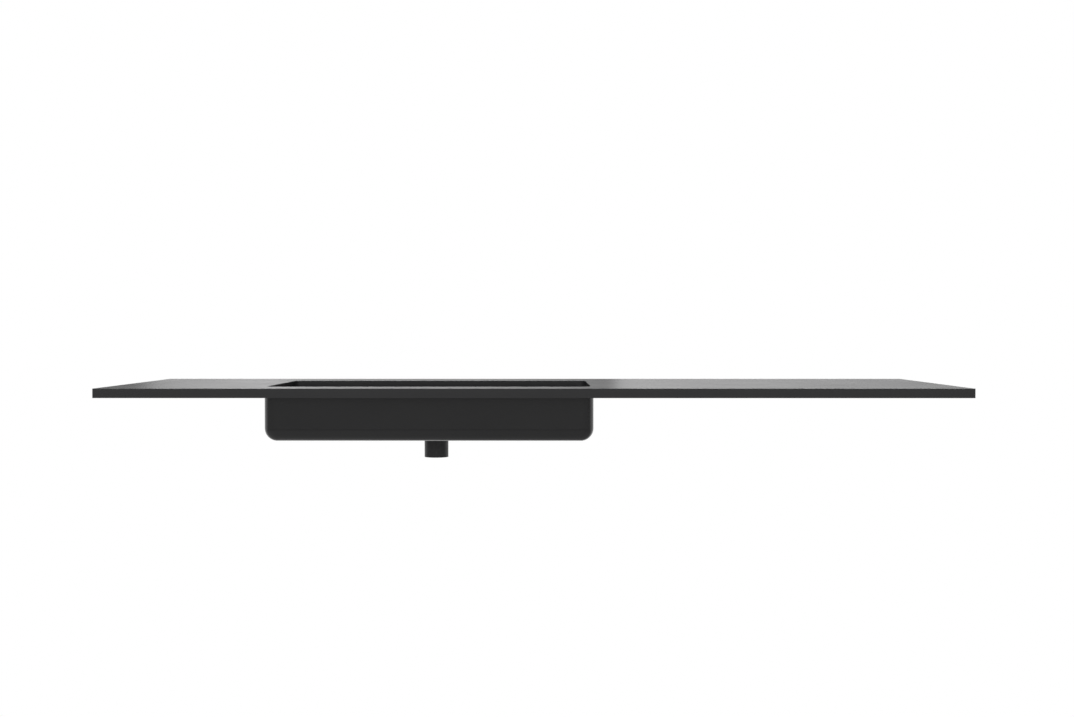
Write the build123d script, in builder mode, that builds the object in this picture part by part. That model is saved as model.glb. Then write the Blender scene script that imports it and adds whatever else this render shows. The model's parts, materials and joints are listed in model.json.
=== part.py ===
from build123d import *
import math
import os

# A long vanity-top washbasin: a thin slab with one rectangular bowl under it, left of the middle.
# X runs along the wall, Y points at the wall and Z up. The origin is the middle of the slab's lower
# back edge, where the cabinet's top meets the wall. All sizes are in millimetres.

# Slab
top_width = 1400.0
top_depth = 500.0
top_thickness = 15.0
top_edge_round = 1.0
mouth_edge_bevel = 0.8

# Bowl: its mouth in the slab, and the shell that hangs under it
bowl_width = 534.0
bowl_length = 300.0
bowl_left_margin = 260.0
bowl_front_margin = 85.0
bowl_corner = 20.0
bowl_wall = 4.5
bowl_drop = 75.0
bowl_outer_round = 21.0
floor_edge_drop = 65.0
floor_fall = 4.0
floor_band = 6.0
drain_flat = 78.0
rim_width = 14.0
rim_thickness = 3.0
sealant_thickness = 0.5

# Waste: a flange screwed down through the bowl's hole into the tail's collar
waste_front_distance = 275.0
waste_hole_radius = 23.0
rebate_radius = 33.0
rebate_depth = 2.5
flange_radius = 32.0
flange_thickness = 2.0
flange_mouth_radius = 21.5
flange_bore_radius = 19.5
neck_radius = 22.0
thread_clearance = 0.05
lower_gasket_thickness = 2.5
collar_flats = 58.0
collar_sides = 8
collar_height = 7.0
collar_ledge = 2.0
tail_radius = 21.0
tail_bore_radius = 19.0
tail_drop = 116.0

# Cross in the tail that carries the click mechanism
hub_drop = 113.0
hub_height = 5.0
hub_radius = 8.2
shank_radius = 5.0
spoke_width = 3.5
spoke_count = 4
locknut_height = 2.5
locknut_flats = 14.0

# Click mechanism
plug_travel = 8.0
cam_turn_degrees = 45.0
barrel_radius = 8.0
barrel_bore_radius = 6.55
barrel_top_drop = 76.0
barrel_floor = 1.5
guide_bore_radius = 4.2
guide_height = 12.0
guide_roof = 2.0
slot_half_angle = 11.0
slot_count = 3
notch_height = 1.2
lug_half_angle = 8.0
lug_height = 3.0
lug_tip_radius = 6.2
cam_hub_radius = 4.0
cam_hub_height = 9.0
cam_seat_radius = 5.9
cam_seat_height = 1.5
spring_wire_radius = 0.35
spring_turns = 5
spring_wire_sides = 5
spring_sections_per_turn = 12
seat_gap = 0.1

# Plug
stem_radius = 3.9
stem_flats = 6.4
pilot_radius = 2.0
pilot_length = 7.0
stem_thread_radius = 3.0
stem_thread_length = 4.0
cap_radius = 30.0
cap_thickness = 3.4
cap_bevel = 0.8
cap_gap = 0.5
seal_carrier_radius = 16.0
seal_carrier_height = 3.0
seal_thickness = 1.6
seal_gap = 0.2

# Places worked out from those sizes
rim_total = rim_thickness + sealant_thickness
cut_margin = 5.0
bowl_x = -top_width / 2 + bowl_left_margin + bowl_width / 2
bowl_y = -top_depth + bowl_front_margin + bowl_length / 2
waste_x = bowl_x
waste_y = -top_depth + waste_front_distance
drain_z = -floor_edge_drop - floor_fall
rebate_z = drain_z - rebate_depth
flange_z = drain_z - flange_thickness
collar_top_z = -bowl_drop - lower_gasket_thickness
collar_z = collar_top_z - collar_height
ledge_z = collar_z + collar_ledge
neck_z = ledge_z + 0.5
hub_top_z = -hub_drop + hub_height
barrel_z = hub_top_z + locknut_height
spring_z = barrel_z + barrel_floor
guide_z = -barrel_top_drop - guide_height
cam_top_z = guide_z - seat_gap
cam_seat_z = cam_top_z - cam_hub_height - cam_seat_height
cap_z = drain_z + cap_gap
carrier_z = cap_z - seal_carrier_height
degrees_per_mm = cam_turn_degrees / plug_travel

waste_axis = Axis((waste_x, waste_y, 0), (0, 0, 1))
waste_section = Plane(origin=(waste_x, waste_y, 0), x_dir=(1, 0, 0), z_dir=(0, -1, 0))


def level(height):
    """The level plane at this height, with its origin on the waste's axis."""
    return Plane(origin=(waste_x, waste_y, height))


def turned_level(height, degrees):
    """The same plane turned about the waste's axis."""
    return level(height).rotated((0, 0, degrees))


# Slab, with the bowl's mouth cut through it and a rebate under it for the bowl's rim
with BuildPart() as countertop:
    with BuildSketch(Plane.XY):
        with Locations((0, -top_depth / 2)):
            Rectangle(top_width, top_depth)
    extrude(amount=top_thickness)
    upper_edges = countertop.faces().sort_by(Axis.Z)[-1].edges()
    fillet(upper_edges, radius=top_edge_round)
    with BuildSketch(Plane.XY):
        with Locations((bowl_x, bowl_y)):
            RectangleRounded(bowl_width, bowl_length, bowl_corner)
    extrude(amount=top_thickness, mode=Mode.SUBTRACT)
    mouth_edges = countertop.faces().sort_by(Axis.Z)[-1].inner_wires()[0].edges()
    chamfer(mouth_edges, length=mouth_edge_bevel)
    rebate_side = bowl_wall + rim_width
    with BuildSketch(Plane.XY):
        with Locations((bowl_x, bowl_y)):
            RectangleRounded(
                bowl_width + 2 * rebate_side,
                bowl_length + 2 * rebate_side,
                bowl_corner + rebate_side,
            )
    extrude(amount=rim_total, mode=Mode.SUBTRACT)
countertop.part.label = "countertop"
export_step(countertop.part, "parts/countertop.step")

# Bowl: an even shell with a bonding rim. Its thicker floor falls from all four sides to a flat
# round the waste
rim_side = rebate_side - 0.5
fall_width = bowl_width - 2 * (bowl_corner + floor_band)
fall_length = bowl_length - 2 * (bowl_corner + floor_band)
drain_start_x = waste_x - bowl_x + (fall_width - drain_flat) / 2
drain_start_y = waste_y - bowl_y + (fall_length - drain_flat) / 2
with BuildPart() as basin_bowl:
    with BuildSketch(Plane.XY.offset(-bowl_drop)):
        with Locations((bowl_x, bowl_y)):
            RectangleRounded(
                bowl_width + 2 * bowl_wall,
                bowl_length + 2 * bowl_wall,
                bowl_outer_round,
            )
    extrude(amount=bowl_drop + rim_thickness)
    fillet(basin_bowl.edges().group_by(Axis.Z)[0], radius=bowl_outer_round)
    with BuildSketch(Plane.XY):
        with Locations((bowl_x, bowl_y)):
            RectangleRounded(
                bowl_width + 2 * rim_side,
                bowl_length + 2 * rim_side,
                bowl_corner + rim_side,
            )
    extrude(amount=rim_thickness)
    with BuildSketch(Plane.XY.offset(-floor_edge_drop)):
        with Locations((bowl_x, bowl_y)):
            RectangleRounded(bowl_width, bowl_length, bowl_corner)
    extrude(amount=floor_edge_drop + rim_thickness, mode=Mode.SUBTRACT)
    floor_face = basin_bowl.faces().filter_by(Plane.XY).group_by(Axis.Z)[1].sort_by(SortBy.AREA)[-1]
    fillet(floor_face.outer_wire().edges(), radius=bowl_corner)
    with Locations((bowl_x, bowl_y, -floor_edge_drop)):
        Wedge(
            xsize=fall_width,
            ysize=floor_fall,
            zsize=fall_length,
            xmin=drain_start_x,
            zmin=drain_start_y,
            xmax=drain_start_x + drain_flat,
            zmax=drain_start_y + drain_flat,
            rotation=(-90, 0, 0),
            align=(Align.CENTER, Align.MIN, Align.CENTER),
            mode=Mode.SUBTRACT,
        )
    with BuildSketch(level(rebate_z)):
        Circle(rebate_radius)
    extrude(amount=rebate_depth, mode=Mode.SUBTRACT)
    with BuildSketch(level(-bowl_drop)):
        Circle(waste_hole_radius)
    extrude(amount=bowl_drop, mode=Mode.SUBTRACT)
basin_bowl.part.label = "basin_bowl"
export_step(basin_bowl.part, "parts/basin_bowl.step")

# Bead of sealant that bonds the rim into the slab's rebate
with BuildPart() as rim_sealant:
    with BuildSketch(Plane.XY.offset(rim_thickness)):
        with Locations((bowl_x, bowl_y)):
            RectangleRounded(
                bowl_width + 2 * rim_side,
                bowl_length + 2 * rim_side,
                bowl_corner + rim_side,
            )
            RectangleRounded(bowl_width, bowl_length, bowl_corner, mode=Mode.SUBTRACT)
    extrude(amount=sealant_thickness)
rim_sealant.part.label = "rim_sealant"
export_step(rim_sealant.part, "parts/rim_sealant.step")

# Waste flange: it sits flush in the bowl's rebate, and its threaded neck goes down into the collar
with BuildPart() as waste_flange:
    with BuildSketch(waste_section):
        with BuildLine():
            Polyline(
                (flange_bore_radius, neck_z),
                (neck_radius, neck_z),
                (neck_radius, flange_z),
                (flange_radius, flange_z),
                (flange_radius, drain_z),
                (flange_mouth_radius, drain_z),
                (flange_bore_radius, flange_z),
                close=True,
            )
        make_face()
    revolve(axis=waste_axis)
waste_flange.part.label = "waste_flange"
export_step(waste_flange.part, "parts/waste_flange.step")

with BuildPart() as flange_gasket:
    with BuildSketch(level(rebate_z)):
        Circle(flange_radius - 0.5)
        Circle(waste_hole_radius, mode=Mode.SUBTRACT)
    extrude(amount=rebate_depth - flange_thickness)
flange_gasket.part.label = "flange_gasket"
export_step(flange_gasket.part, "parts/flange_gasket.step")

with BuildPart() as lower_gasket:
    with BuildSketch(level(collar_top_z)):
        Circle(collar_flats / 2 - 0.5)
        Circle(neck_radius + 0.3, mode=Mode.SUBTRACT)
    extrude(amount=lower_gasket_thickness)
lower_gasket.part.label = "lower_gasket"
export_step(lower_gasket.part, "parts/lower_gasket.step")

# Waste tail: an eight-sided collar that takes the neck's thread, the plain tail, and the cross in it
with BuildPart() as waste_tail:
    with BuildSketch(level(-tail_drop)):
        Circle(tail_radius)
    extrude(amount=collar_z + tail_drop)
    with BuildSketch(level(collar_z)):
        RegularPolygon(collar_flats / 2, collar_sides, major_radius=False)
    extrude(amount=collar_height)
    with BuildSketch(level(-tail_drop)):
        Circle(tail_bore_radius)
    extrude(amount=collar_top_z + tail_drop, mode=Mode.SUBTRACT)
    with BuildSketch(level(ledge_z)):
        Circle(neck_radius + thread_clearance)
    extrude(amount=collar_top_z - ledge_z, mode=Mode.SUBTRACT)
    with BuildSketch(level(-hub_drop)):
        with PolarLocations(tail_bore_radius / 2, spoke_count):
            Rectangle(tail_bore_radius + 1.0, spoke_width)
        Circle(hub_radius)
    extrude(amount=hub_height)
    with BuildSketch(level(-hub_drop)):
        Circle(shank_radius + thread_clearance)
    extrude(amount=hub_height, mode=Mode.SUBTRACT)
waste_tail.part.label = "waste_tail"
export_step(waste_tail.part, "parts/waste_tail.step")

with BuildPart() as barrel_locknut:
    with BuildSketch(level(hub_top_z)):
        RegularPolygon(locknut_flats / 2, 6, major_radius=False)
        Circle(shank_radius + thread_clearance, mode=Mode.SUBTRACT)
    extrude(amount=locknut_height)
barrel_locknut.part.label = "barrel_locknut"
export_step(barrel_locknut.part, "parts/barrel_locknut.step")

# Click barrel: a cup with a threaded shank that screws into the cross
with BuildPart() as click_barrel:
    with BuildSketch(waste_section):
        with BuildLine():
            Polyline(
                (0, -hub_drop - 1.0),
                (shank_radius, -hub_drop - 1.0),
                (shank_radius, barrel_z),
                (barrel_radius, barrel_z),
                (barrel_radius, -barrel_top_drop),
                (barrel_bore_radius, -barrel_top_drop),
                (barrel_bore_radius, spring_z),
                (0, spring_z),
                close=True,
            )
        make_face()
    revolve(axis=waste_axis)
click_barrel.part.label = "click_barrel"
export_step(click_barrel.part, "parts/click_barrel.step")

# Cam guide: pressed into the barrel's top. Three slots wind up through its wall, and the cam's lugs
# climb them as the plug rises. The shallow notches between them hold the lugs when it is latched.
slot_angle = 360 / slot_count
slot_top_z = guide_z + plug_travel + 0.3
slot_steps = 2
with BuildPart() as cam_guide:
    with BuildSketch(level(guide_z)):
        Circle(barrel_bore_radius - thread_clearance)
        Circle(guide_bore_radius, mode=Mode.SUBTRACT)
    extrude(amount=guide_height)
    with BuildSketch(level(-barrel_top_drop - guide_roof)):
        Circle(guide_bore_radius + 0.5)
        with BuildSketch(mode=Mode.SUBTRACT):
            Circle(stem_radius + 0.1)
            Rectangle(2 * guide_bore_radius, stem_flats + 0.2, mode=Mode.INTERSECT)
    extrude(amount=guide_roof)
    for slot in range(slot_count):
        for step in range(slot_steps + 1):
            slot_z = guide_z - cut_margin / 5 + (slot_top_z - guide_z + cut_margin / 5) * step / slot_steps
            lead = (slot_z - guide_z + lug_height) * degrees_per_mm
            with BuildSketch(turned_level(slot_z, slot * slot_angle + lead)):
                with BuildLine():
                    inner = CenterArc((0, 0), guide_bore_radius - 0.7, -slot_half_angle, 2 * slot_half_angle)
                    outer = CenterArc((0, 0), barrel_bore_radius + 0.7, -slot_half_angle, 2 * slot_half_angle)
                    Line(inner @ 0, outer @ 0)
                    Line(inner @ 1, outer @ 1)
                make_face()
        loft(ruled=True, mode=Mode.SUBTRACT)
        with BuildSketch(turned_level(guide_z, (slot + 0.5) * slot_angle + lug_height * degrees_per_mm)):
            with BuildLine():
                inner = CenterArc((0, 0), guide_bore_radius - 0.7, -slot_half_angle, 2 * slot_half_angle)
                outer = CenterArc((0, 0), barrel_bore_radius + 0.7, -slot_half_angle, 2 * slot_half_angle)
                Line(inner @ 0, outer @ 0)
                Line(inner @ 1, outer @ 1)
            make_face()
        extrude(amount=notch_height, mode=Mode.SUBTRACT)
cam_guide.part.label = "cam_guide"
export_step(cam_guide.part, "parts/cam_guide.step")

# Click cam: a hub that turns on the stem's pilot, lugs with the slots' slant, and a spring seat
lug_z = cam_top_z - lug_height
with BuildPart() as click_cam:
    with BuildSketch(level(cam_seat_z)):
        Circle(cam_seat_radius)
    extrude(amount=cam_seat_height)
    with BuildSketch(level(cam_seat_z)):
        Circle(cam_hub_radius)
    extrude(amount=cam_top_z - cam_seat_z)
    for lug in range(slot_count):
        for lug_end in (0, lug_height):
            with BuildSketch(turned_level(lug_z + lug_end, lug * slot_angle + lug_end * degrees_per_mm)):
                with BuildLine():
                    inner = CenterArc((0, 0), cam_hub_radius - 0.8, -lug_half_angle, 2 * lug_half_angle)
                    outer = CenterArc((0, 0), lug_tip_radius, -lug_half_angle, 2 * lug_half_angle)
                    Line(inner @ 0, outer @ 0)
                    Line(inner @ 1, outer @ 1)
                make_face()
        loft(ruled=True)
    with BuildSketch(level(cam_top_z)):
        Circle(pilot_radius + 0.1)
    extrude(amount=-pilot_length - 0.5, mode=Mode.SUBTRACT)
click_cam.part.label = "click_cam"
export_step(click_cam.part, "parts/click_cam.step")

# Click spring, pressed together between the barrel's floor and the cam: a ruled loft through wire
# sections that stand round the coil
spring_height = cam_seat_z - spring_z - 2 * spring_wire_radius
spring_radius = cam_seat_radius - 0.6
spring_start_z = spring_z + spring_wire_radius
spring_sections = spring_turns * spring_sections_per_turn
with BuildPart() as click_spring:
    for section in range(spring_sections + 1):
        turned = 360 * section / spring_sections_per_turn
        wire_z = spring_start_z + spring_height * section / spring_sections
        radial = turned_level(wire_z, turned)
        across = Plane(origin=radial.origin, x_dir=radial.x_dir, z_dir=radial.y_dir)
        with BuildSketch(across):
            with Locations((spring_radius, 0)):
                RegularPolygon(spring_wire_radius, spring_wire_sides)
    loft(ruled=True)
click_spring.part.label = "click_spring"
export_step(click_spring.part, "parts/click_spring.step")

# Plug: a flat cap with a bevelled rim, on a grooved carrier that holds its seal and takes its stem
cap_top_z = cap_z + cap_thickness
seal_groove_z = carrier_z + 0.6
with BuildPart() as plug_cap:
    with BuildSketch(waste_section):
        with BuildLine():
            Polyline(
                (0, cap_top_z),
                (0, carrier_z),
                (seal_carrier_radius + 1.5, carrier_z),
                (seal_carrier_radius + 1.5, seal_groove_z),
                (seal_carrier_radius, seal_groove_z),
                (seal_carrier_radius, cap_z),
                (cap_radius, cap_z),
                (cap_radius, cap_top_z - cap_bevel),
                (cap_radius - cap_bevel, cap_top_z),
                close=True,
            )
        make_face()
    revolve(axis=waste_axis)
    with BuildSketch(level(carrier_z)):
        Circle(stem_thread_radius + thread_clearance)
    extrude(amount=stem_thread_length + 0.5, mode=Mode.SUBTRACT)
plug_cap.part.label = "plug_cap"
export_step(plug_cap.part, "parts/plug_cap.step")

# Plug seal: a flat rubber ring whose lower edge stands just off the flange's mouth
mouth_slope = (flange_mouth_radius - flange_bore_radius) / flange_thickness
seal_z = seal_groove_z + 0.1
mouth_radius_there = flange_mouth_radius - mouth_slope * (drain_z - seal_z)
with BuildPart() as plug_seal:
    with BuildSketch(level(seal_z)):
        Circle(mouth_radius_there - seal_gap * math.hypot(1, mouth_slope))
        Circle(seal_carrier_radius + 0.1, mode=Mode.SUBTRACT)
    extrude(amount=seal_thickness)
plug_seal.part.label = "plug_seal"
export_step(plug_seal.part, "parts/plug_seal.step")

# Plug stem: screwed into the cap, flatted so that it can't turn, with a pilot that carries the cam
with BuildPart() as plug_stem:
    with BuildSketch(level(cam_top_z - pilot_length)):
        Circle(pilot_radius)
    extrude(amount=pilot_length)
    with BuildSketch(level(cam_top_z)):
        Circle(stem_radius)
        Rectangle(2 * stem_radius, stem_flats, mode=Mode.INTERSECT)
    extrude(amount=carrier_z - cam_top_z)
    with BuildSketch(level(carrier_z)):
        Circle(stem_thread_radius)
    extrude(amount=stem_thread_length)
plug_stem.part.label = "plug_stem"
export_step(plug_stem.part, "parts/plug_stem.step")
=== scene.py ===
# %% [markdown]
# # A vanity-top washbasin
#
# The real object is a thin black slab with a rectangular bowl under it, both cast in solid surface,
# and a brass waste with a push-to-open plug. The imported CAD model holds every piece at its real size.
# This lesson loads that model as a fixed frame, in metres. It sets up the camera and the light of a
# plain studio, then the finishes, and last the pieces, which are smoother than the CAD model's and
# take the same space.

# %% Load the frame and measure it
import bpy
import bmesh
import json
import math
from mathutils import Matrix, Vector


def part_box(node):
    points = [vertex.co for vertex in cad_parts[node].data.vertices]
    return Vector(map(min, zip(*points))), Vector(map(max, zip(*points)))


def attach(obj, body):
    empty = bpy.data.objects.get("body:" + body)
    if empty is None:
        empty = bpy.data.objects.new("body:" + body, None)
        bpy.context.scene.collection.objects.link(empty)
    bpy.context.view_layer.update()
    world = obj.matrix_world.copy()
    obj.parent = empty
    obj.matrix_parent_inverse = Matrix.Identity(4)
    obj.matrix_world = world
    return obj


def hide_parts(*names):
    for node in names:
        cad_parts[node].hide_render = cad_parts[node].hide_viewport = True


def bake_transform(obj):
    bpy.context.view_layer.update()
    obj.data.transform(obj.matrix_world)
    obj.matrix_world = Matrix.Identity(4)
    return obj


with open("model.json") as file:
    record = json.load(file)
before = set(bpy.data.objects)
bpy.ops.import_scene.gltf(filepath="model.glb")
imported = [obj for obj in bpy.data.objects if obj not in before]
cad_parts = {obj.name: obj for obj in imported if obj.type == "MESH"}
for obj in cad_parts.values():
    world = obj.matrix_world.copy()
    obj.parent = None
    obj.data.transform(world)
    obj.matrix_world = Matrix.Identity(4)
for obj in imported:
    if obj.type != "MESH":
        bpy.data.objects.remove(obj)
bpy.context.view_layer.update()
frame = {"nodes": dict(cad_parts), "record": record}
nodes = frame["nodes"]
MM = 0.001

# %% [markdown]
# ## The camera
#
# The picture was taken almost square on, from 2.4 metres in front of the slab and 9 cm above its top,
# so the camera sees the top at a grazing angle of 2 degrees. Through a lens of 50 mm the slab takes up
# most of the frame's width from there, and its far edge looks about a sixth shorter than its near one.
# The camera is turned by two small angles and isn't shifted.

# %% Camera
camera_place = Vector((0.011, -2.861, 0.1044))
camera_pitch, camera_turn = -1.010, 0.135
camera_data = bpy.data.cameras.new("camera")
camera_data.lens = 50
camera_data.sensor_width = 36
camera = bpy.data.objects.new("camera", camera_data)
camera.location = camera_place
camera.rotation_euler = (math.radians(90 + camera_pitch), 0, math.radians(camera_turn))
bpy.context.scene.collection.objects.link(camera)
bpy.context.scene.camera = camera
slab_low, slab_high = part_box("countertop")
print("camera above the top, mm:", round((camera_place.z - slab_high.z) / MM, 1))

# %% [markdown]
# ## Helpers for node materials
#
# Colours are written as sRGB hex values, as a paint chart gives them, and one function turns them into
# the linear values that the shader works with. Another adds a node with its settings and links, so
# that each material reads as a short list of steps. The last one tells what kind of ray has come, so
# that the background and the floor can look white to the camera and still not light the object as
# white walls all round it would.

# %% Colour and node helpers
def to_linear(hex_colour):
    """The linear RGBA of an sRGB hex colour such as #1a1a1b."""
    channels = [int(hex_colour[start:start + 2], 16) / 255 for start in (1, 3, 5)]
    linear = [channel / 12.92 if channel <= 0.04045 else ((channel + 0.055) / 1.055) ** 2.4
              for channel in channels]
    return (*linear, 1.0)


def add_node(tree, kind, inputs=None, **settings):
    """Adds a shader node. An input takes a value, an output, or a node, whose first output is linked."""
    node = tree.nodes.new("ShaderNode" + kind)
    for name, setting in settings.items():
        setattr(node, name, setting)
    for name, source in (inputs or {}).items():
        if isinstance(source, bpy.types.Node):
            source = next(output for output in source.outputs if output.enabled)
        if isinstance(source, bpy.types.NodeSocket):
            tree.links.new(source, node.inputs[name])
        else:
            node.inputs[name].default_value = source
    return node


def new_material(name):
    """An empty node material, its tree, and the coordinates of the piece that wears it, in metres."""
    material = bpy.data.materials.new(name)
    material.use_nodes = True
    tree = material.node_tree
    tree.nodes.clear()
    return material, tree, add_node(tree, "TexCoord").outputs["Object"]


def ray_kinds(tree):
    """Whether a ray comes straight from the camera, and whether it comes from gloss or glass."""
    rays = add_node(tree, "LightPath").outputs
    mirrored = add_node(tree, "Math", {0: rays["Is Glossy Ray"], 1: rays["Is Transmission Ray"]},
                        operation="MAXIMUM")
    return rays["Is Camera Ray"], mirrored


print("mid grey #808080 is linear", round(to_linear("#808080")[0], 3))

# %% [markdown]
# ## The light
#
# A black satin object shows little of its own colour: what the eye reads as its shape is the
# reflection of the room. At such a grazing angle a satin surface smears a reflection upwards but
# hardly sideways, so what stands low behind the slab draws crisp edges along it, and what is higher
# only sets the tone of the front and of the bowl. The studio's light is made of levels, from below:
#
# - a white wall all round, up to 1 degree above the horizon, darker on the camera's side
# - a strip of soft boxes above it, up to 6 degrees. In front it is even. Behind the object it changes
#   along its length, because two boxes stand there side by side: the left one fades towards its right
#   end, and the right one starts bright beside it, which is the crisp step in the slab's top.
# - a ceiling that is bright in front and nearly black behind
# - a broad overhead light, which comes in softly from 13 degrees up and shows where the ceiling is
#   darker than it
#
# Each level is a strength that changes smoothly along one coordinate of the ray's direction. The
# strip behind the object is a colour ramp over 30 degrees to each side only. A ramp is stored in 256
# steps, so one over the full circle would blur the step between the boxes. The camera sees plain white
# in every direction. Gloss and glass see that white behind the object only below the strip, so that
# the reflections above it stay.

# %% World
wall_top, strip_top, overhead_rise = (0.4, 1.0), (4.5, 6.0), (13, 42)
front_to_back, just_behind = (-0.5, 0.2), (0.0, 0.2)
front_wall, back_wall, front_strip = 0.55, 1.0, 1.5
front_ceiling, back_ceiling, overhead_level = 1.3, 0.05, 0.55
strip_end = 30
strip_by_azimuth = ((-30, 0.15), (-15.2, 0.5), (-14.4, 1.2), (-10.6, 1.65), (-7.4, 1.2), (-3, 1.1),
                    (0.5, 0.92), (2.7, 0.66), (3.1, 1.5), (4.5, 1.5), (6, 1.4), (10, 1.3),
                    (14.5, 1.08), (20, 0.94), (30, 0.15))
world = bpy.data.worlds.new("studio")
bpy.context.scene.world = world
world.use_nodes = True
tree = world.node_tree
tree.nodes.clear()
direction = add_node(tree, "TexCoord").outputs["Generated"]
to_right, to_back, upwards = add_node(tree, "SeparateXYZ", {"Vector": direction}).outputs


def heights_of(degrees):
    """The Z of a direction at each of these elevations."""
    return [math.sin(math.radians(angle)) for angle in degrees]


level_changes = {
    "above the wall": (upwards, heights_of(wall_top), (0, 1)),
    "at the wall": (upwards, heights_of(wall_top), (1, 0)),
    "above the strip": (upwards, heights_of(strip_top), (0, 1)),
    "overhead": (upwards, heights_of(overhead_rise), (0, overhead_level)),
    "behind": (to_back, just_behind, (0, 1)),
    "wall": (to_back, front_to_back, (front_wall, back_wall)),
    "front strip": (to_back, front_to_back, (front_strip, 0)),
    "ceiling": (to_back, front_to_back, (front_ceiling, back_ceiling)),
}
levels = {}
for name, (coordinate, (low, high), (start, end)) in level_changes.items():
    levels[name] = add_node(tree, "MapRange", {"Value": coordinate, "From Min": low, "From Max": high,
                                               "To Min": start, "To Max": end},
                            interpolation_type="SMOOTHSTEP")
print("levels of light:", ", ".join(levels))

# %% Strip behind the object
azimuth = add_node(tree, "Math", {0: to_right, 1: to_back}, operation="ARCTAN2")
place_on_ramp = add_node(tree, "MapRange", {"Value": azimuth, "From Min": math.radians(-strip_end),
                                            "From Max": math.radians(strip_end)})
ramp = add_node(tree, "ValToRGB", {"Fac": place_on_ramp})
stops = ramp.color_ramp.elements
while len(stops) < len(strip_by_azimuth):
    stops.new(0.5)
for stop, (degrees, brightness) in zip(stops, strip_by_azimuth):
    stop.position = 0.5 + degrees / strip_end / 2
    stop.color = (brightness, brightness, brightness, 1)
print("strip stops:", len(stops))

# %% Levels put together
strip = add_node(tree, "Math", {0: ramp, 1: levels["front strip"]}, operation="MAXIMUM")
ceiling = add_node(tree, "Math", {0: levels["ceiling"], 1: levels["overhead"]}, operation="MAXIMUM")
over_wall = add_node(tree, "Mix", {"Factor": levels["above the strip"], "A": strip, "B": ceiling})
room = add_node(tree, "Mix", {"Factor": levels["above the wall"], "A": levels["wall"], "B": over_wall})
from_camera, mirrored = ray_kinds(tree)
low_behind = add_node(tree, "Math", {0: levels["at the wall"], 1: levels["behind"]},
                      operation="MULTIPLY")
mirrored_low = add_node(tree, "Math", {0: mirrored, 1: low_behind}, operation="MULTIPLY")
sees_white = add_node(tree, "Math", {0: from_camera, 1: mirrored_low}, operation="MAXIMUM")
strength = add_node(tree, "Mix", {"Factor": sees_white, "A": room, "B": 1.0})
background = add_node(tree, "Background", {"Color": to_linear("#ffffff"), "Strength": strength})
add_node(tree, "OutputWorld", {"Surface": background})
print("nodes of the world:", len(tree.nodes))

# %% [markdown]
# The room's light comes from all sides, so its shadows are very faint. One lamp on the front left,
# halfway up, adds a soft one under the slab and gives the round edges of the cap and of the arrises
# their highlights. A camera that sees the top at 2 degrees from the front doesn't see the lamp's own
# reflection in it.

# %% Key light
key_azimuth, key_elevation, key_distance = math.radians(222), math.radians(45), 3.2
key_width, key_height, key_watts = 2.2, 1.2, 70
towards_key = Vector((math.sin(key_azimuth) * math.cos(key_elevation),
                      math.cos(key_azimuth) * math.cos(key_elevation), math.sin(key_elevation)))
key_data = bpy.data.lights.new("box_front_left", "AREA")
key_data.shape = "RECTANGLE"
key_data.size = key_width
key_data.size_y = key_height
key_data.energy = key_watts
key = bpy.data.objects.new("box_front_left", key_data)
key.location = Vector((0, slab_low.y / 2, slab_high.z)) + towards_key * key_distance
key.rotation_euler = (-towards_key).to_track_quat("-Z", "Y").to_euler()
key.visible_camera = False
bpy.context.scene.collection.objects.link(key)
print("key light:", key_watts, "W at", key_distance, "m")

# %% [markdown]
# ## The floor
#
# Such a basin hangs at 85 cm, so the floor lies far below the picture's frame and the object's faint
# shadow with it. The floor is matt and pale grey, and the camera sees it mixed with white: about half
# of it near the object, which keeps the shadow, and nothing but white from 1.5 m away, so that no
# horizon line shows behind the slab. Gloss and glass see the white on the floor behind the object
# only. In front it would light up the black front from below.

# %% Floor
basin_height, floor_reach = 0.85, 30
white_middle = (0.0, -0.75, -basin_height)
white_starts, all_white, white_near = 0.9, 1.5, 0.55
mirrored_from, mirrored_at = 0.2, 0.7
floor_paint, tree, where = new_material("floor_paint")
distance = add_node(tree, "VectorMath", {0: where, 1: white_middle}, operation="DISTANCE")
far = add_node(tree, "MapRange", {"Value": distance.outputs["Value"], "From Min": white_starts,
                                  "From Max": all_white, "To Min": white_near},
               interpolation_type="SMOOTHSTEP")
to_back = add_node(tree, "SeparateXYZ", {"Vector": where}).outputs["Y"]
behind = add_node(tree, "MapRange", {"Value": to_back, "From Min": mirrored_from,
                                     "From Max": mirrored_at})
from_camera, mirrored = ray_kinds(tree)
mirrored_behind = add_node(tree, "Math", {0: mirrored, 1: behind}, operation="MULTIPLY")
sees_white = add_node(tree, "Math", {0: from_camera, 1: mirrored_behind}, operation="MAXIMUM")
white_share = add_node(tree, "Math", {0: far, 1: sees_white}, operation="MULTIPLY")
paint = add_node(tree, "BsdfDiffuse", {"Color": to_linear("#b8b8b8")})
white = add_node(tree, "Emission", {"Color": to_linear("#ffffff"), "Strength": 1.0})
shown = add_node(tree, "MixShader", {0: white_share, 1: paint, 2: white})
add_node(tree, "OutputMaterial", {"Surface": shown})
bm = bmesh.new()
bmesh.ops.create_grid(bm, x_segments=1, y_segments=1, size=floor_reach)
bmesh.ops.translate(bm, verts=bm.verts, vec=(0, 0, -basin_height))
floor_mesh = bpy.data.meshes.new("floor")
bm.to_mesh(floor_mesh)
bm.free()
floor_mesh.materials.append(floor_paint)
floor = bpy.data.objects.new("floor", floor_mesh)
bpy.context.scene.collection.objects.link(floor)
print("floor at", -basin_height, "m")

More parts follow.
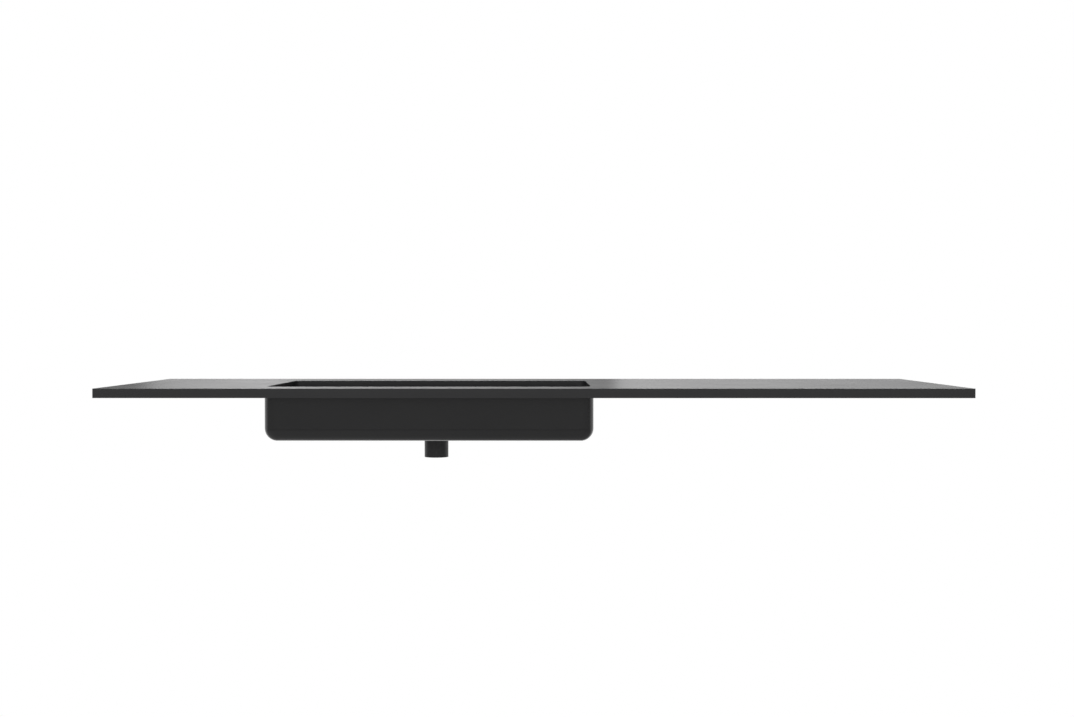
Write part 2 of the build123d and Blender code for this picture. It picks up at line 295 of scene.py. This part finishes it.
# %% [markdown]
# ## Finishes
#
# Most real surfaces change on two scales. Soft patches, some millimetres or centimetres wide, differ
# a little in colour and gloss, and a much finer relief, left by the way the surface was made, breaks
# the highlights up. Five of the finishes here are made of just that: one noise mixes two colours and
# two roughnesses, and a finer one raises a bump. The solid surface and the brass need steps of their
# own. All sizes are in millimetres, and a noise keeps mostly between 0.3 and 0.7.

# %% Finish helpers
noise_low, noise_high = 0.3, 0.7


def per_size(millimetres):
    """The texture scale whose features have about this size."""
    return 1 / (millimetres * MM)


def end_finish(tree, colour, roughness, relief, strength, depth, values):
    """Adds a bump of this depth in mm and the shader with its own values, and links the output."""
    bump = add_node(tree, "Bump", {"Height": relief, "Strength": strength, "Distance": depth * MM})
    shader = add_node(tree, "BsdfPrincipled", {"Base Color": colour, "Roughness": roughness,
                                               "Normal": bump, **values}, distribution="GGX")
    add_node(tree, "OutputMaterial", {"Surface": shader})


def mottled_finish(name, patches, colours, roughness, fine, strength, depth, values):
    """A material with soft patches of colour and gloss, and a bump of a finer noise.

    patches and fine are the values of the two noises, and colours and roughness are pairs."""
    material, tree, where = new_material(name)
    patch = add_node(tree, "TexNoise", {"Vector": where, **patches})
    first, second = colours
    colour = add_node(tree, "Mix", {"Factor": patch, "A": to_linear(first), "B": to_linear(second)},
                      data_type="RGBA")
    least, most = roughness
    gloss = add_node(tree, "MapRange", {"Value": patch, "From Min": noise_low, "From Max": noise_high,
                                        "To Min": least, "To Max": most})
    relief = add_node(tree, "TexNoise", {"Vector": where, **fine})
    end_finish(tree, colour, gloss, relief, strength, depth, values)
    return material


print("a noise of 1 mm has the scale", per_size(1))

# %% [markdown]
# **Solid surface** is acrylic resin filled with ground mineral. Black sheets are sanded to a satin
# surface, so the colour is an even near-black with a faint cloudiness, very fine pale grains, and a
# slight change of gloss from place to place. The grains are the peaks of a fine noise. They are drawn
# at 0.9 mm, coarser than the real filler, which is too fine to show.

# %% Solid surface
cloud_size, grain_size = 90, 0.9
grain_starts, grain_full, grain_share_most = 0.66, 0.78, 0.55
satin, satin_change = 0.21, 0.006
solid_surface, tree, where = new_material("satin_black_solid_surface")
clouds = add_node(tree, "TexNoise", {"Vector": where, "Scale": per_size(cloud_size), "Detail": 3.0,
                                     "Roughness": 0.55})
grain = add_node(tree, "TexNoise", {"Vector": where, "Scale": per_size(grain_size), "Detail": 2.0,
                                    "Roughness": 0.6})
cloud_colour = add_node(tree, "Mix", {"Factor": clouds, "A": to_linear("#141415"),
                                      "B": to_linear("#1a1a1b")}, data_type="RGBA")
grain_share = add_node(tree, "MapRange", {"Value": grain, "From Min": grain_starts,
                                          "From Max": grain_full, "To Max": grain_share_most})
colour = add_node(tree, "Mix", {"Factor": grain_share, "A": cloud_colour, "B": to_linear("#2c2c2e")},
                  data_type="RGBA")
gloss = add_node(tree, "MapRange", {"Value": clouds, "From Min": noise_low, "From Max": noise_high,
                                    "To Min": satin - satin_change, "To Max": satin + satin_change})
end_finish(tree, colour, gloss, relief=grain, strength=0.04, depth=0.02, values={"IOR": 1.49})
print(solid_surface.name, "clouds", cloud_size, "mm, grains", grain_size, "mm, roughness", satin)

# %% [markdown]
# **Matt black coating on brass.** The flange, the tail and the plug's cap are turned from brass and
# coated by spraying and baking. The film is a few hundredths of a millimetre thick, so it rounds the
# turning marks off and leaves a faint orange peel. The eye reads it as a deep black with a soft, broad
# highlight, a little rougher in some patches than in others.

# %% Matt black coating
peel_size = 1.1
coated_metal = mottled_finish(
    "matt_black_coating_on_brass", patches={"Scale": per_size(25), "Detail": 3.0},
    colours=("#151517", "#1b1b1d"), roughness=(0.38, 0.46),
    fine={"Scale": per_size(peel_size), "Detail": 1.0}, strength=0.12, depth=0.03, values={"IOR": 1.5})
print(coated_metal.name, "orange peel", peel_size, "mm")

# %% [markdown]
# **Black EPDM rubber.** Gaskets are cut or moulded from EPDM. Its surface is dull, with a bloom that
# makes it greyer in patches, and fine pits. The pits are drawn at 0.4 mm, coarser than real ones.

# %% Rubber
bloom_size, pit_size = 6, 0.4
gasket_rubber = mottled_finish(
    "black_EPDM_rubber", patches={"Scale": per_size(bloom_size), "Detail": 4.0, "Roughness": 0.6},
    colours=("#171717", "#2a2a2a"), roughness=(0.58, 0.75), fine={"Scale": per_size(pit_size)},
    strength=0.3, depth=0.04, values={"IOR": 1.52})
print(gasket_rubber.name, "bloom", bloom_size, "mm, pits", pit_size, "mm")

# %% [markdown]
# **Black seam adhesive.** The bowl is bonded under the slab with a two-part acrylic adhesive of the
# slab's own colour. It sets glossier than the sanded sheet and keeps a slow ripple from the nozzle,
# which here changes the colour and the gloss and is the relief as well.

# %% Adhesive
ripple = {"Scale": per_size(4), "Detail": 1.0}
sealant = mottled_finish(
    "black_acrylic_seam_adhesive", patches=ripple, colours=("#131314", "#19191a"),
    roughness=(0.22, 0.32), fine=ripple, strength=0.2, depth=0.05, values={"IOR": 1.49})
print(sealant.name, "ripple scale", ripple["Scale"])

# %% [markdown]
# **Natural acetal.** The guide and the cam are moulded from undyed acetal, a waxy white plastic that
# slides on itself without grease. Light goes a little way into it, which softens its edges, and the
# mould leaves a fine even texture.

# %% Acetal
mould_texture_size = 0.3
acetal = mottled_finish(
    "moulded_natural_acetal", patches={"Scale": per_size(7)}, colours=("#e4e1d8", "#efede6"),
    roughness=(0.38, 0.48), fine={"Scale": per_size(mould_texture_size), "Detail": 1.0},
    strength=0.15, depth=0.02,
    values={"IOR": 1.48, "Subsurface Weight": 0.25, "Subsurface Scale": 1.5 * MM,
            "Subsurface Radius": (1.0, 0.9, 0.75)})
print(acetal.name, "mould texture", mould_texture_size, "mm")

# %% [markdown]
# **Drawn spring steel.** Stainless spring wire is drawn through a die, which polishes it and leaves
# faint lines and a grey film of drawing soap. On a wire this thin the lines read as a grain, so they
# are a noise of 0.3 mm, about the wire's own radius.

# %% Spring steel
line_size = 0.3
spring_steel = mottled_finish(
    "drawn_stainless_spring_wire", patches={"Scale": per_size(3)}, colours=("#a9abae", "#c3c5c8"),
    roughness=(0.2, 0.34), fine={"Scale": per_size(line_size)}, strength=0.1, depth=0.01,
    values={"Metallic": 1.0})
print(spring_steel.name, "drawing lines", line_size, "mm")

# %% [markdown]
# **Turned brass.** The barrel, its locknut and the stem are left as they come off the lathe. The tool
# leaves a fine groove on every turn, along the length on a round wall and in rings on a flat end, so
# the highlight spreads across the grooves. Bands along the waste's axis and rings round it are added
# up. Their pitch is drawn at 0.5 mm, coarser than the real 0.1. A wave texture of scale 1 repeats
# every pi / 10 of its coordinates.

# %% Brass
groove_pitch, tarnish_size = 0.5, 5
flange_low, flange_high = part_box("waste_flange")
waste = (flange_low + flange_high) / 2 / MM
print("waste axis at, mm:", [round(value, 2) for value in waste.xy])

turned_brass, tree, where = new_material("lathe_turned_brass")
about_waste = add_node(tree, "Mapping", {"Vector": where, "Location": (-waste.x * MM, -waste.y * MM, 0)})
grooves = []
for kind in ("bands", "rings"):
    wave = add_node(tree, "TexWave", {"Vector": about_waste, "Scale": per_size(groove_pitch) * math.pi / 10,
                                      "Distortion": 0.6, "Detail": 1.0, "Detail Scale": 2.0},
                    wave_type=kind.upper(), **{kind + "_direction": "Z"})
    grooves.append(wave.outputs["Fac"])
marks = add_node(tree, "Math", {0: grooves[0], 1: grooves[1]}, operation="ADD")
tarnish = add_node(tree, "TexNoise", {"Vector": about_waste, "Scale": per_size(tarnish_size), "Detail": 3.0})
colour = add_node(tree, "Mix", {"Factor": tarnish, "A": to_linear("#c79f55"), "B": to_linear("#dcb872")},
                  data_type="RGBA")
gloss = add_node(tree, "MapRange", {"Value": marks, "From Max": 2.0, "To Min": 0.22, "To Max": 0.36})
end_finish(tree, colour, gloss, relief=marks, strength=0.25, depth=0.02, values={"Metallic": 1.0})
print(turned_brass.name, "groove pitch", groove_pitch, "mm")

# %% [markdown]
# The record says which slot each CAD node takes its finish from. A node that stays in the picture gets
# the new material in its object's own slots, so that its mesh is left as it was packed.

# %% Materials on the CAD nodes
materials = {"solid_surface": solid_surface, "coated_metal": coated_metal, "gasket_rubber": gasket_rubber,
             "sealant": sealant, "turned_brass": turned_brass, "acetal": acetal,
             "spring_steel": spring_steel}
for part in frame["record"]["subparts"]:
    for object_slot in nodes[part["node"]].material_slots:
        object_slot.link = "OBJECT"
        object_slot.material = materials[part["material_slot"]]
print("materials:", sorted(material.name for material in materials.values()))

# %% [markdown]
# ## Helpers for the pieces
#
# Every new piece is a bmesh that starts from a few corner points, and its places are read from the
# boxes of the CAD nodes, in millimetres, so that it fills the same space. Three forms cover this
# object. The routed slab is a square frame whose corners are bevelled. What is cast in a mould is a
# skin stretched over rounded outlines. What comes off a lathe is a profile that is spun round the
# waste's axis. Edges where two faces turn by more than 32 degrees stay crisp in the shading, and the
# rest is smooth.

# %% Measures and finished pieces
crease_angle = math.radians(32)
weld_within, shortest_edge = 0.01, 0.005


def box_in_mm(node):
    """A CAD node's lowest and highest corners, in millimetres."""
    low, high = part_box(node)
    return low / MM, high / MM


def round_size(node):
    """The outer radius and the lowest and highest point of a round CAD node, in millimetres."""
    low, high = box_in_mm(node)
    return (high.x - low.x) / 2, low.z, high.z


def add_piece(name, bm, body, slot, replaced):
    """Makes a finished object of a bmesh, in place of the CAD node that it stands for.

    The piece rides on its body. With no body, it is left free."""
    bmesh.ops.remove_doubles(bm, verts=bm.verts, dist=weld_within * MM)
    bmesh.ops.dissolve_degenerate(bm, edges=bm.edges, dist=shortest_edge * MM)
    bmesh.ops.recalc_face_normals(bm, faces=bm.faces)
    open_edges = sum(1 for edge in bm.edges if len(edge.link_faces) != 2)
    mesh = bpy.data.meshes.new(name)
    bm.to_mesh(mesh)
    bm.free()
    mesh.shade_smooth()
    mesh.set_sharp_from_angle(angle=crease_angle)
    mesh.materials.append(materials[slot])
    piece = bpy.data.objects.new(name, mesh)
    bpy.context.scene.collection.objects.link(piece)
    weighted = piece.modifiers.new("even_shading", "WEIGHTED_NORMAL")
    weighted.keep_sharp = True
    weighted.weight = 100
    if body:
        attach(piece, body)
    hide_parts(replaced)
    print(name, "faces:", len(mesh.polygons), "open edges:", open_edges)
    return piece


print("edges stay crisp from, degrees:", round(math.degrees(crease_angle)))

# %% [markdown]
# ## The slab
#
# The slab is a flat cast sheet, 15 mm thick. A router cuts the bowl's mouth and a shallow rebate under
# it, and every arris along the top is rounded by nearly 2 mm so that it doesn't chip. It could be cut
# out of a block with booleans, which leave long thin triangles. Here it is four flat sides between six
# rectangles, and only the upright corners and the top's edges are bevelled, so the flats keep a few
# large faces.

# %% Measures of the slab and its mouth
slab_floor, slab_roof = box_in_mm("countertop")
bowl_floor, bowl_roof = box_in_mm("basin_bowl")
bead_floor, bead_roof = box_in_mm("rim_sealant")
slab_middle, bowl_middle = (slab_floor + slab_roof) / 2, (bowl_floor + bowl_roof) / 2
slab_size, bowl_size = slab_roof - slab_floor, bowl_roof - bowl_floor
rim_side = 18.0
mouth_width, mouth_length = bowl_size.x - 2 * rim_side, bowl_size.y - 2 * rim_side
mouth_corner, slab_corner, top_rounding = 20.0, 2.0, 1.8
rebate_room = 0.5
rebate_side = rim_side + rebate_room


def mouth_box(side, height):
    """The mouth's rectangle, widened by side, at a height: (middle, width, length, height)."""
    return bowl_middle, mouth_width + 2 * side, mouth_length + 2 * side, height


def slab_box(height):
    """The slab's own rectangle at a height."""
    return slab_middle, slab_size.x, slab_size.y, height


print("mouth, mm:", round(mouth_width, 1), "x", round(mouth_length, 1))

# %% Flat frame
def rectangle(bm, middle, width, length, height):
    """The corner points of a level rectangle, in turn. Sizes are in millimetres."""
    return [bm.verts.new(((middle.x + right * width / 2) * MM, (middle.y + back * length / 2) * MM,
                          height * MM)) for right, back in ((-1, -1), (1, -1), (1, 1), (-1, 1))]


def square_frame(rectangles):
    """A closed bmesh with four flat sides between rectangles, and the corners of each rectangle."""
    bm = bmesh.new()
    rings = [rectangle(bm, *sizes) for sizes in rectangles]
    for first, second in zip(rings, rings[1:] + rings[:1]):
        for side in range(4):
            bm.faces.new((first[side - 1], first[side], second[side], second[side - 1]))
    return bm, rings


def corner_edges(first, second):
    """The four edges that join the corners of two rectangles."""
    return [edge for low, high in zip(first, second) for edge in low.link_edges
            if edge.other_vert(low) is high]


def soften(bm, edges, size, segments=3):
    """Rounds edges by a size in mm."""
    bmesh.ops.bevel(bm, geom=edges, offset=size * MM, offset_type="OFFSET", segments=segments,
                    profile=0.5, affect="EDGES", material=-1, clamp_overlap=True)


bm, rings = square_frame([
    mouth_box(0, slab_roof.z), slab_box(slab_roof.z), slab_box(slab_floor.z),
    mouth_box(rebate_side, slab_floor.z), mouth_box(rebate_side, bead_roof.z), mouth_box(0, bead_roof.z)])
print("flat faces of the slab:", len(bm.faces))

# %% Slab
corner_segments = 12
steep, nearly = math.radians(60), 0.01
mouth_upper, slab_upper, slab_lower, rebate_lower, rebate_upper, mouth_lower = rings
soften(bm, corner_edges(slab_upper, slab_lower), slab_corner, segments=4)
soften(bm, corner_edges(rebate_lower, rebate_upper), mouth_corner + rebate_side, corner_segments)
soften(bm, corner_edges(mouth_lower, mouth_upper), mouth_corner, corner_segments)
at_the_top = (slab_roof.z - nearly) * MM
top_edges = [edge for edge in bm.edges if min(vert.co.z for vert in edge.verts) > at_the_top
             and edge.calc_face_angle(0) > steep]
soften(bm, top_edges, top_rounding, segments=5)
add_piece("slab", bm, "basin", "solid_surface", "countertop")

# %% [markdown]
# ## The bowl
#
# The bowl is cast in one piece and bonded under the slab. A mould needs round corners everywhere, so
# its outlines are rounded rectangles, and its lower edge turns through a quarter circle inside and
# out. The floor falls by 4 mm from all sides to a flat round the waste. A bevelled box with a Solidify
# modifier would have the same round corners, but its rim, hole and rebate would still have to be cut.
# Here one skin goes over a series of outlines: across the rim, down the outside, under the floor, up
# through the waste's hole and rebate, over the floor and up the inside.

# %% Measures of the bowl
flange_radius, neck_foot, flange_top = round_size("waste_flange")
_, ring_bottom, flange_bottom = round_size("flange_gasket")
wall = 4.5
rim_corner = mouth_corner + rim_side
outer_round, inner_round = 21.0, 20.0
floor_fall, floor_band, floor_corner = 4.0, 6.0, 3.0
floor_edge = flange_top + floor_fall
neck_radius, waste_room, hole_band = 22.0, 1.0, 8.0
hole_radius, rebate_radius = neck_radius + waste_room, flange_radius + waste_room
drain_flat, drain_corner = 78.0, 32.0
print("the bowl's floor falls to, mm:", round(flange_top, 2), "and its hole is", 2 * hole_radius, "wide")

# %% Outlines and skin
round_steps = 10
smallest_corner, hair = 0.3, 0.05


def rounded_outline(bm, middle, width, length, corner, height):
    """A level rectangle with round corners, as a loop of edges."""
    verts = rectangle(bm, middle, width, length, height)
    bm.faces.new(verts)
    rounded = bmesh.ops.bevel(bm, geom=verts, offset=corner * MM, offset_type="OFFSET",
                              segments=corner_segments, profile=0.5, affect="VERTICES", material=-1)
    face = rounded["verts"][0].link_faces[0]
    loop = list(face.edges)
    bmesh.ops.delete(bm, geom=[face], context="FACES_ONLY")
    return loop


def skin(outlines):
    """A closed bmesh stretched over outlines, each (middle, width, length, corner, height)."""
    bm = bmesh.new()
    # The bridge reads which way a loop runs from the step in height to the next one. Every second
    # outline is a hair lower, so that it can tell in a level stretch too.
    loops = []
    for place, (*outline, height) in enumerate(outlines):
        loops.append(rounded_outline(bm, *outline, height - hair * (place % 2)))
    for first, second in zip(loops, loops[1:] + loops[:1]):
        bmesh.ops.bridge_loops(bm, edges=first + second)
    return bm


def mouth_outline(side, corner, height):
    """The mouth's outline widened by side, with this corner."""
    return bowl_middle, mouth_width + 2 * side, mouth_length + 2 * side, corner, height


def quarter_round(side, radius, foot):
    """Outlines that turn from an upright wall to a level floor through a quarter circle."""
    outlines = []
    for step in range(round_steps + 1):
        turn = math.radians(90) * step / round_steps
        inward = radius * (1 - math.cos(turn))
        height = foot + radius * (1 - math.sin(turn))
        outlines.append(mouth_outline(side - inward, max(radius - inward, smallest_corner), height))
    return outlines


def ring(radius, height):
    """A round outline on the waste's axis, whose four round corners nearly meet."""
    return waste, 2 * radius, 2 * radius, radius - nearly, height


print("outlines of a quarter round:", len(quarter_round(0, inner_round, floor_edge)))

# %% Bowl
bm = skin([
    mouth_outline(0, mouth_corner, bowl_roof.z), mouth_outline(rim_side, rim_corner, bowl_roof.z),
    mouth_outline(rim_side, rim_corner, slab_floor.z), mouth_outline(wall, outer_round, slab_floor.z),
    *quarter_round(wall, outer_round, bowl_floor.z),
    ring(hole_radius + hole_band, bowl_floor.z), ring(hole_radius, bowl_floor.z),
    ring(hole_radius, ring_bottom), ring(rebate_radius, ring_bottom), ring(rebate_radius, flange_top),
    (waste, drain_flat, drain_flat, drain_corner, flange_top),
    mouth_outline(-inner_round - floor_band, floor_corner, floor_edge),
    *reversed(quarter_round(0, inner_round, floor_edge))])
add_piece("bowl", bm, "basin", "solid_surface", "basin_bowl")

# %% [markdown]
# ## The waste
#
# The waste is turned from brass and coated matt black: a flange with a soft rim, a neck that goes down
# through the bowl, and below it a tail with an eight-sided collar that is screwed onto the neck. The
# collar is turned first, with a chamfer at both faces, and the flats are milled afterwards, which
# leaves the curved corners that every nut has. The same steps make it here. A cross of four arms in
# the tail holds a hub, and the click mechanism is screwed into it. Threads are plain round walls with
# a gap of 0.05 mm, as in the CAD model. No edge that is handled stays quite sharp, so it is broken,
# eased or soft. A wide piece is spun in more steps than a narrow one.

# %% Lathe
broken, eased, soft = 0.2, 0.4, 0.8
wide_steps, narrow_steps = 96, 64


def turned(*profiles, steps=wide_steps):
    """A bmesh spun about the waste's axis from closed profiles of (radius, height, rounding) in mm."""
    bm = bmesh.new()
    for profile in profiles:
        verts = [bm.verts.new(((waste.x + radius) * MM, waste.y * MM, height * MM))
                 for radius, height, _ in profile]
        bm.faces.new(verts)
        for vert, (_, _, rounding) in zip(verts, profile):
            if rounding:
                bmesh.ops.bevel(bm, geom=[vert], offset=rounding * MM, offset_type="OFFSET",
                                segments=4, profile=0.5, affect="VERTICES", material=-1)
    bmesh.ops.delete(bm, geom=list(bm.faces), context="FACES_ONLY")
    beside_axis = (waste.x + nearly) * MM
    on_axis = [edge for edge in bm.edges if max(vert.co.x for vert in edge.verts) < beside_axis]
    bmesh.ops.delete(bm, geom=on_axis, context="EDGES")
    bmesh.ops.spin(bm, geom=bm.verts[:] + bm.edges[:], cent=(waste.x * MM, waste.y * MM, 0),
                   axis=(0, 0, 1), dvec=(0, 0, 0), angle=math.tau, steps=steps, use_merge=True,
                   use_duplicate=False)
    return bm


print("rounding of edges, mm:", broken, eased, soft)

# %% Flange
neck_bore, flange_mouth = 19.5, 21.5
add_piece("flange", turned([
    (neck_bore, neck_foot, broken), (neck_radius, neck_foot, eased), (neck_radius, flange_bottom, 0),
    (flange_radius, flange_bottom, broken), (flange_radius, flange_top, soft),
    (flange_mouth, flange_top, eased), (neck_bore, flange_bottom, eased)]),
    "basin", "coated_metal", "waste_flange")

# %% Nuts and spokes
face_past_flats = 0.3
on_plane = 0.0001


def nut_blank(flats, sides, low, high, chamfer):
    """The outer points of a turned nut before milling, from its top face to its bottom face."""
    face, corner = flats / 2 + face_past_flats, flats / 2 / math.cos(math.pi / sides)
    return [(face, high, 0), (corner, high - chamfer, 0), (corner, low + chamfer, 0), (face, low, 0)]


def mill_flats(bm, flats, sides):
    """Cuts a turned body to a prism with this size across its flats and closes the cuts."""
    for side in range(sides):
        turn = math.tau * (side + 0.5) / sides
        outward = Vector((math.cos(turn), math.sin(turn), 0))
        middle = Vector((waste.x * MM, waste.y * MM, 0)) + outward * flats / 2 * MM
        cut = bmesh.ops.bisect_plane(bm, geom=bm.verts[:] + bm.edges[:] + bm.faces[:],
                                     dist=on_plane * MM, plane_co=middle, plane_no=outward,
                                     clear_outer=True)
        edges = [part for part in cut["geom_cut"] if isinstance(part, bmesh.types.BMEdge)]
        bmesh.ops.edgeloop_fill(bm, edges=edges)


def spoke(bm, inner, outer, width, low, high, turn):
    """A bar with eased edges that runs outwards from the waste's axis between two radii."""
    made = bmesh.ops.create_cube(bm, size=1)["verts"]
    bmesh.ops.scale(bm, verts=made, vec=Vector((outer - inner, width, high - low)) * MM)
    middle = Vector((waste.x + (inner + outer) / 2, waste.y, (low + high) / 2))
    bmesh.ops.translate(bm, verts=made, vec=middle * MM)
    bmesh.ops.rotate(bm, verts=made, cent=(waste.x * MM, waste.y * MM, 0),
                     matrix=Matrix.Rotation(turn, 3, "Z"))
    soften(bm, list({edge for vert in made for edge in vert.link_edges}), eased, segments=2)


print("a nut's turned face reaches past its flats by, mm:", face_past_flats)

# %% Tail
_, tail_foot, collar_top = round_size("waste_tail")
_, shank_foot, barrel_top = round_size("click_barrel")
_, nut_bottom, nut_top = round_size("barrel_locknut")
tail_radius, tail_bore = 21.0, 19.0
collar_flats, collar_sides, collar_height, collar_chamfer = 58.0, 8, 7.0, 1.2
neck_gap, fit = 0.5, 0.05
collar_bottom, ledge = collar_top - collar_height, neck_foot - neck_gap
shank_radius, hub_radius, hub_height = 5.0, 8.2, 5.0
arms, arm_width, arm_bite = 4, 3.5, 0.5
hub_top, hub_bottom = nut_bottom, nut_bottom - hub_height
thread = neck_radius + fit
bm = turned(
    [(thread, collar_top, eased), *nut_blank(collar_flats, collar_sides, collar_bottom, collar_top,
                                             collar_chamfer),
     (tail_radius, collar_bottom, eased), (tail_radius, tail_foot, eased), (tail_bore, tail_foot, eased),
     (tail_bore, ledge, 0), (thread, ledge, 0)],
    [(shank_radius + fit, hub_bottom, eased), (hub_radius, hub_bottom, eased),
     (hub_radius, hub_top, eased), (shank_radius + fit, hub_top, eased)])
mill_flats(bm, collar_flats, collar_sides)
for arm in range(arms):
    spoke(bm, hub_radius - arm_bite, tail_bore + arm_bite, arm_width, hub_bottom, hub_top,
          math.tau * arm / arms)
add_piece("tail", bm, "basin", "coated_metal", "waste_tail")

# %% [markdown]
# ## The rings
#
# Three rings and one bead keep the water in: a thin ring under the flange, a thick one that the collar
# squeezes against the bowl from below, the plug's own seal, and the adhesive between slab and bowl.
# A torus would be quicker, but such gaskets have flat sides. Rubber has no sharp edges either, so each
# profile is a rectangle whose corners are rounded before it is turned. The bead is a skin again.

# %% Seals
def rubber_ring(name, node, inner, body, rounding):
    """A turned ring with the outer size of its CAD node and this inner radius."""
    outer, low, high = round_size(node)
    profile = [(inner, low, rounding), (outer, low, rounding), (outer, high, rounding),
               (inner, high, rounding)]
    add_piece(name, turned(profile), body, "gasket_rubber", node)


carrier_radius = 16.0
ring_room, seal_room, bead_inset = 0.3, 0.1, 0.15
rubber_ring("flange_ring", "flange_gasket", hole_radius, "basin", rounding=0.15)
rubber_ring("lower_ring", "lower_gasket", neck_radius + ring_room, "basin", rounding=0.7)
rubber_ring("plug_ring", "plug_seal", carrier_radius + seal_room, "plug", rounding=0.5)
bm = skin([mouth_outline(bead_inset, mouth_corner, bead_roof.z),
           mouth_outline(rim_side, rim_corner, bead_roof.z),
           mouth_outline(rim_side, rim_corner, bead_floor.z),
           mouth_outline(bead_inset, mouth_corner, bead_floor.z)])
add_piece("adhesive_bead", bm, "basin", "sealant", "rim_sealant")

# %% [markdown]
# ## The plug
#
# The plug's cap is a lid with a soft rim, 60 mm across, that falls by under half a millimetre towards
# its edge so that water runs off. Under it a grooved carrier holds the seal, and the stem is screwed
# into the carrier. The stem has two flats, so that the slotted guide below keeps it from turning. Both
# profiles start and end on the axis, where the spin closes them.

# %% Plug
cap_radius, carrier_foot, cap_top = round_size("plug_cap")
stem_radius, stem_foot, stem_top = round_size("plug_stem")
cap_thickness, cap_flat, cap_fall, crown_rounding = 3.4, 22.0, 0.4, 3.0
lip_height, lip_reach = 0.6, 1.5
cap_bottom = cap_top - cap_thickness
lip_top, lip_radius = carrier_foot + lip_height, carrier_radius + lip_reach
thread_radius, thread_room = 3.0, 0.5
add_piece("cap", turned([
    (0, cap_top, 0), (cap_flat, cap_top, crown_rounding), (cap_radius, cap_top - cap_fall, soft),
    (cap_radius, cap_bottom, eased), (carrier_radius, cap_bottom, 0), (carrier_radius, lip_top, 0),
    (lip_radius, lip_top, broken), (lip_radius, carrier_foot, broken),
    (thread_radius + fit, carrier_foot, broken), (thread_radius + fit, stem_top + thread_room, 0),
    (0, stem_top + thread_room, 0)]), "plug", "coated_metal", "plug_cap")
stem_flats, cam_pin, cam_pin_length = 6.4, 2.0, 7.0
cam_pin_top = stem_foot + cam_pin_length
bm = turned([(0, stem_foot, 0), (cam_pin, stem_foot, eased), (cam_pin, cam_pin_top, 0),
             (stem_radius, cam_pin_top, eased), (stem_radius, carrier_foot, broken),
             (thread_radius, carrier_foot, 0), (thread_radius, stem_top, eased), (0, stem_top, 0)],
            steps=narrow_steps)
mill_flats(bm, stem_flats, sides=2)
add_piece("stem", bm, "plug", "turned_brass", "plug_stem")

# %% [markdown]
# ## The click mechanism
#
# A brass barrel is screwed into the hub and fixed by a thin hexagonal nut. It holds the white guide and
# the cam, which stay as the CAD model has them: their winding slots and lugs are what the motion
# depends on.

# %% Barrel and locknut
barrel_radius, barrel_bore, barrel_floor, shank_rounding = 8.0, 6.55, 1.5, 0.6
add_piece("barrel", turned([
    (0, shank_foot, 0), (shank_radius, shank_foot, shank_rounding), (shank_radius, nut_top, 0),
    (barrel_radius, nut_top, eased), (barrel_radius, barrel_top, eased), (barrel_bore, barrel_top, eased),
    (barrel_bore, nut_top + barrel_floor, 0), (0, nut_top + barrel_floor, 0)], steps=narrow_steps),
    "basin", "turned_brass", "click_barrel")
locknut_flats, locknut_sides = 14.0, 6
bm = turned([(shank_radius + fit, nut_top, eased),
             *nut_blank(locknut_flats, locknut_sides, nut_bottom, nut_top, eased),
             (shank_radius + fit, nut_bottom, eased)], steps=narrow_steps)
mill_flats(bm, locknut_flats, locknut_sides)
add_piece("locknut", bm, "basin", "turned_brass", "barrel_locknut")

# %% [markdown]
# ## The spring
#
# A small compression spring stands on the barrel's floor and pushes the cam up. Its first and last
# turn are wound close, so that it stands straight. A curve with a bevel could draw it. Here a circle
# of wire is spun with a lift at every step, and each winding starts where the last one ended, so the
# mesh is one closed tube. Its foot stays with the basin while its top follows the plug, so it is
# attached to no body.

# %% Spring
spring_floor, spring_roof = box_in_mm("click_spring")
wire_radius, wire_sides, turn_steps = 0.35, 12, 36
close_pitch, open_turns = 0.8, 3
coil_radius = (spring_roof.x - spring_floor.x) / 2 - wire_radius
coil_height = spring_roof.z - spring_floor.z - 2 * wire_radius
open_pitch = (coil_height - 2 * close_pitch) / open_turns
wire_start = Vector((waste.x + coil_radius, waste.y, spring_floor.z + wire_radius))
bm = bmesh.new()
wire = bmesh.ops.create_circle(bm, cap_ends=True, segments=wire_sides, radius=wire_radius * MM)["verts"]
bmesh.ops.rotate(bm, verts=wire, cent=(0, 0, 0), matrix=Matrix.Rotation(math.radians(90), 3, "X"))
bmesh.ops.translate(bm, verts=wire, vec=wire_start * MM)
wire_end = bm.verts[:] + bm.edges[:] + bm.faces[:]
for turns, pitch in ((1, close_pitch), (open_turns, open_pitch), (1, close_pitch)):
    wire_end = bmesh.ops.spin(bm, geom=wire_end, cent=(waste.x * MM, waste.y * MM, 0), axis=(0, 0, 1),
                              dvec=(0, 0, pitch * MM / turn_steps), angle=math.tau * turns,
                              steps=turns * turn_steps, use_merge=False, use_duplicate=False)["geom_last"]
spring = add_piece("coil_spring", bm, None, "spring_steel", "click_spring")
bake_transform(spring)
print("coil height, mm:", round(coil_height, 2), "open pitch, mm:", round(open_pitch, 2))

# %% [markdown]
# ## The view
#
# The Standard view shows a colour about as it is written, so nothing is toned down or lifted after the
# render. New pieces may look better than the solids but may not change the object's size.

# %% View
bpy.context.scene.view_settings.view_transform = "Standard"
